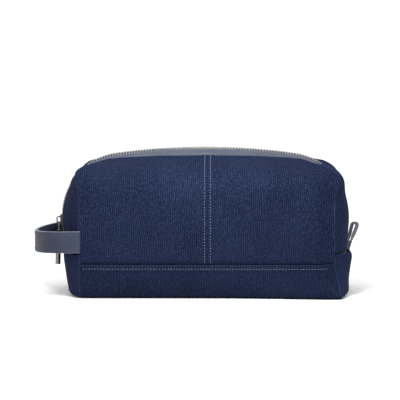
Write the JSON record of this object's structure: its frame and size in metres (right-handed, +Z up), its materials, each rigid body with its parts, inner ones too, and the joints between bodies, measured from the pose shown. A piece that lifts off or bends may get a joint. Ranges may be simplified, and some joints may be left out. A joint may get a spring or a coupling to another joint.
{
  "type": "shaving kit bag",
  "caption": "Soft canvas wash bag with a zip over its arched top, leather zip facings, a wrist strap at one end and a pull tab at the other.",
  "frame": {"origin": "middle of the flat base, on the surface the bag stands on", "axes": "+X along the bag away from the wrist strap, +Y from front to back, +Z up"},
  "size_m": [0.3017, 0.1212, 0.1352],
  "materials": {
    "canvas": "matt navy twill canvas",
    "facing_leather": "smooth grey-navy leather",
    "strap_leather": "smooth grey-navy leather with painted edges",
    "zip_tape": "woven tape",
    "zip_metal": "polished nickel-plated teeth",
    "slider_metal": "dark nickel",
    "lining": "plain woven lining",
    "board": "stiffening board"
  },
  "bodies": {
    "bag_base": {"back_panel_low_left": "canvas", "back_panel_low_right": "canvas", "base_band": "canvas", "base_board": "board", "end_lower_left": "canvas", "end_lower_right": "canvas", "end_panel_low_back_left": "canvas", "end_panel_low_back_right": "canvas", "end_panel_low_front_left": "canvas", "end_panel_low_front_right": "canvas", "front_panel_low_left": "canvas", "front_panel_low_right": "canvas", "lining_base": "lining", "strap_anchor_back": "strap_leather", "strap_anchor_front": "strap_leather", "zip_facing_low_back_left": "facing_leather", "zip_facing_low_back_right": "facing_leather", "zip_facing_low_front_left": "facing_leather", "zip_facing_low_front_right": "facing_leather", "zip_stops": "zip_metal", "zip_tape_low_back_left": "zip_tape", "zip_tape_low_back_right": "zip_tape", "zip_tape_low_front_left": "zip_tape", "zip_tape_low_front_right": "zip_tape", "zip_teeth_low_left": "zip_metal", "zip_teeth_low_right": "zip_metal"},
    "front_half": {"end_panel_front_left": "canvas", "end_panel_front_right": "canvas", "front_panel_left": "canvas", "front_panel_right": "canvas", "lining_front": "lining", "zip_facing_front": "facing_leather", "zip_tape_front": "zip_tape", "zip_teeth_front": "zip_metal"},
    "back_half": {"back_panel_left": "canvas", "back_panel_right": "canvas", "end_panel_back_left": "canvas", "end_panel_back_right": "canvas", "lining_back": "lining", "zip_facing_back": "facing_leather", "zip_tape_back": "zip_tape", "zip_teeth_back": "zip_metal"},
    "zip_slider": {"slider_bail": "slider_metal", "slider_body": "slider_metal"},
    "zip_pull": {"pull_tab": "slider_metal"},
    "wrist_strap": {"strap_inner": "strap_leather", "strap_outer": "strap_leather"},
    "end_tab": {"tab_loop": "strap_leather"}
  },
  "joints": [
    {"name": "mouth_front", "type": "hinge", "parent": "bag_base", "child": "front_half", "pos_m": [0, -0.059, 0.066], "axis": [-1, 0, 0], "range_deg": [-25, 0]},
    {"name": "mouth_back", "type": "hinge", "parent": "bag_base", "child": "back_half", "pos_m": [0, 0.059, 0.066], "axis": [1, 0, 0], "range_deg": [-25, 0]},
    {"name": "zip_slide", "type": "hinge", "parent": "bag_base", "child": "zip_slider", "pos_m": [-0.0746, 0, 0.0708], "axis": [0, 1, 0], "range_deg": [0, 86]},
    {"name": "pull_swing", "type": "hinge", "parent": "zip_slider", "child": "zip_pull", "pos_m": [-0.13661, 0, 0.06401], "axis": [0, 1, 0], "range_deg": [0, 26]},
    {"name": "strap_lift", "type": "hinge", "parent": "bag_base", "child": "wrist_strap", "pos_m": [-0.1165, 0, 0.0524], "axis": [0, 1, 0], "range_deg": [-25, 30], "stiffness_Nm_per_rad": 0.12, "springref_deg": 1.03},
    {"name": "tab_flex", "type": "hinge", "parent": "bag_base", "child": "end_tab", "pos_m": [0.1342, 0, 0.0443], "axis": [0, 1, 0], "range_deg": [-4, 85], "stiffness_Nm_per_rad": 0.02}
  ]
}
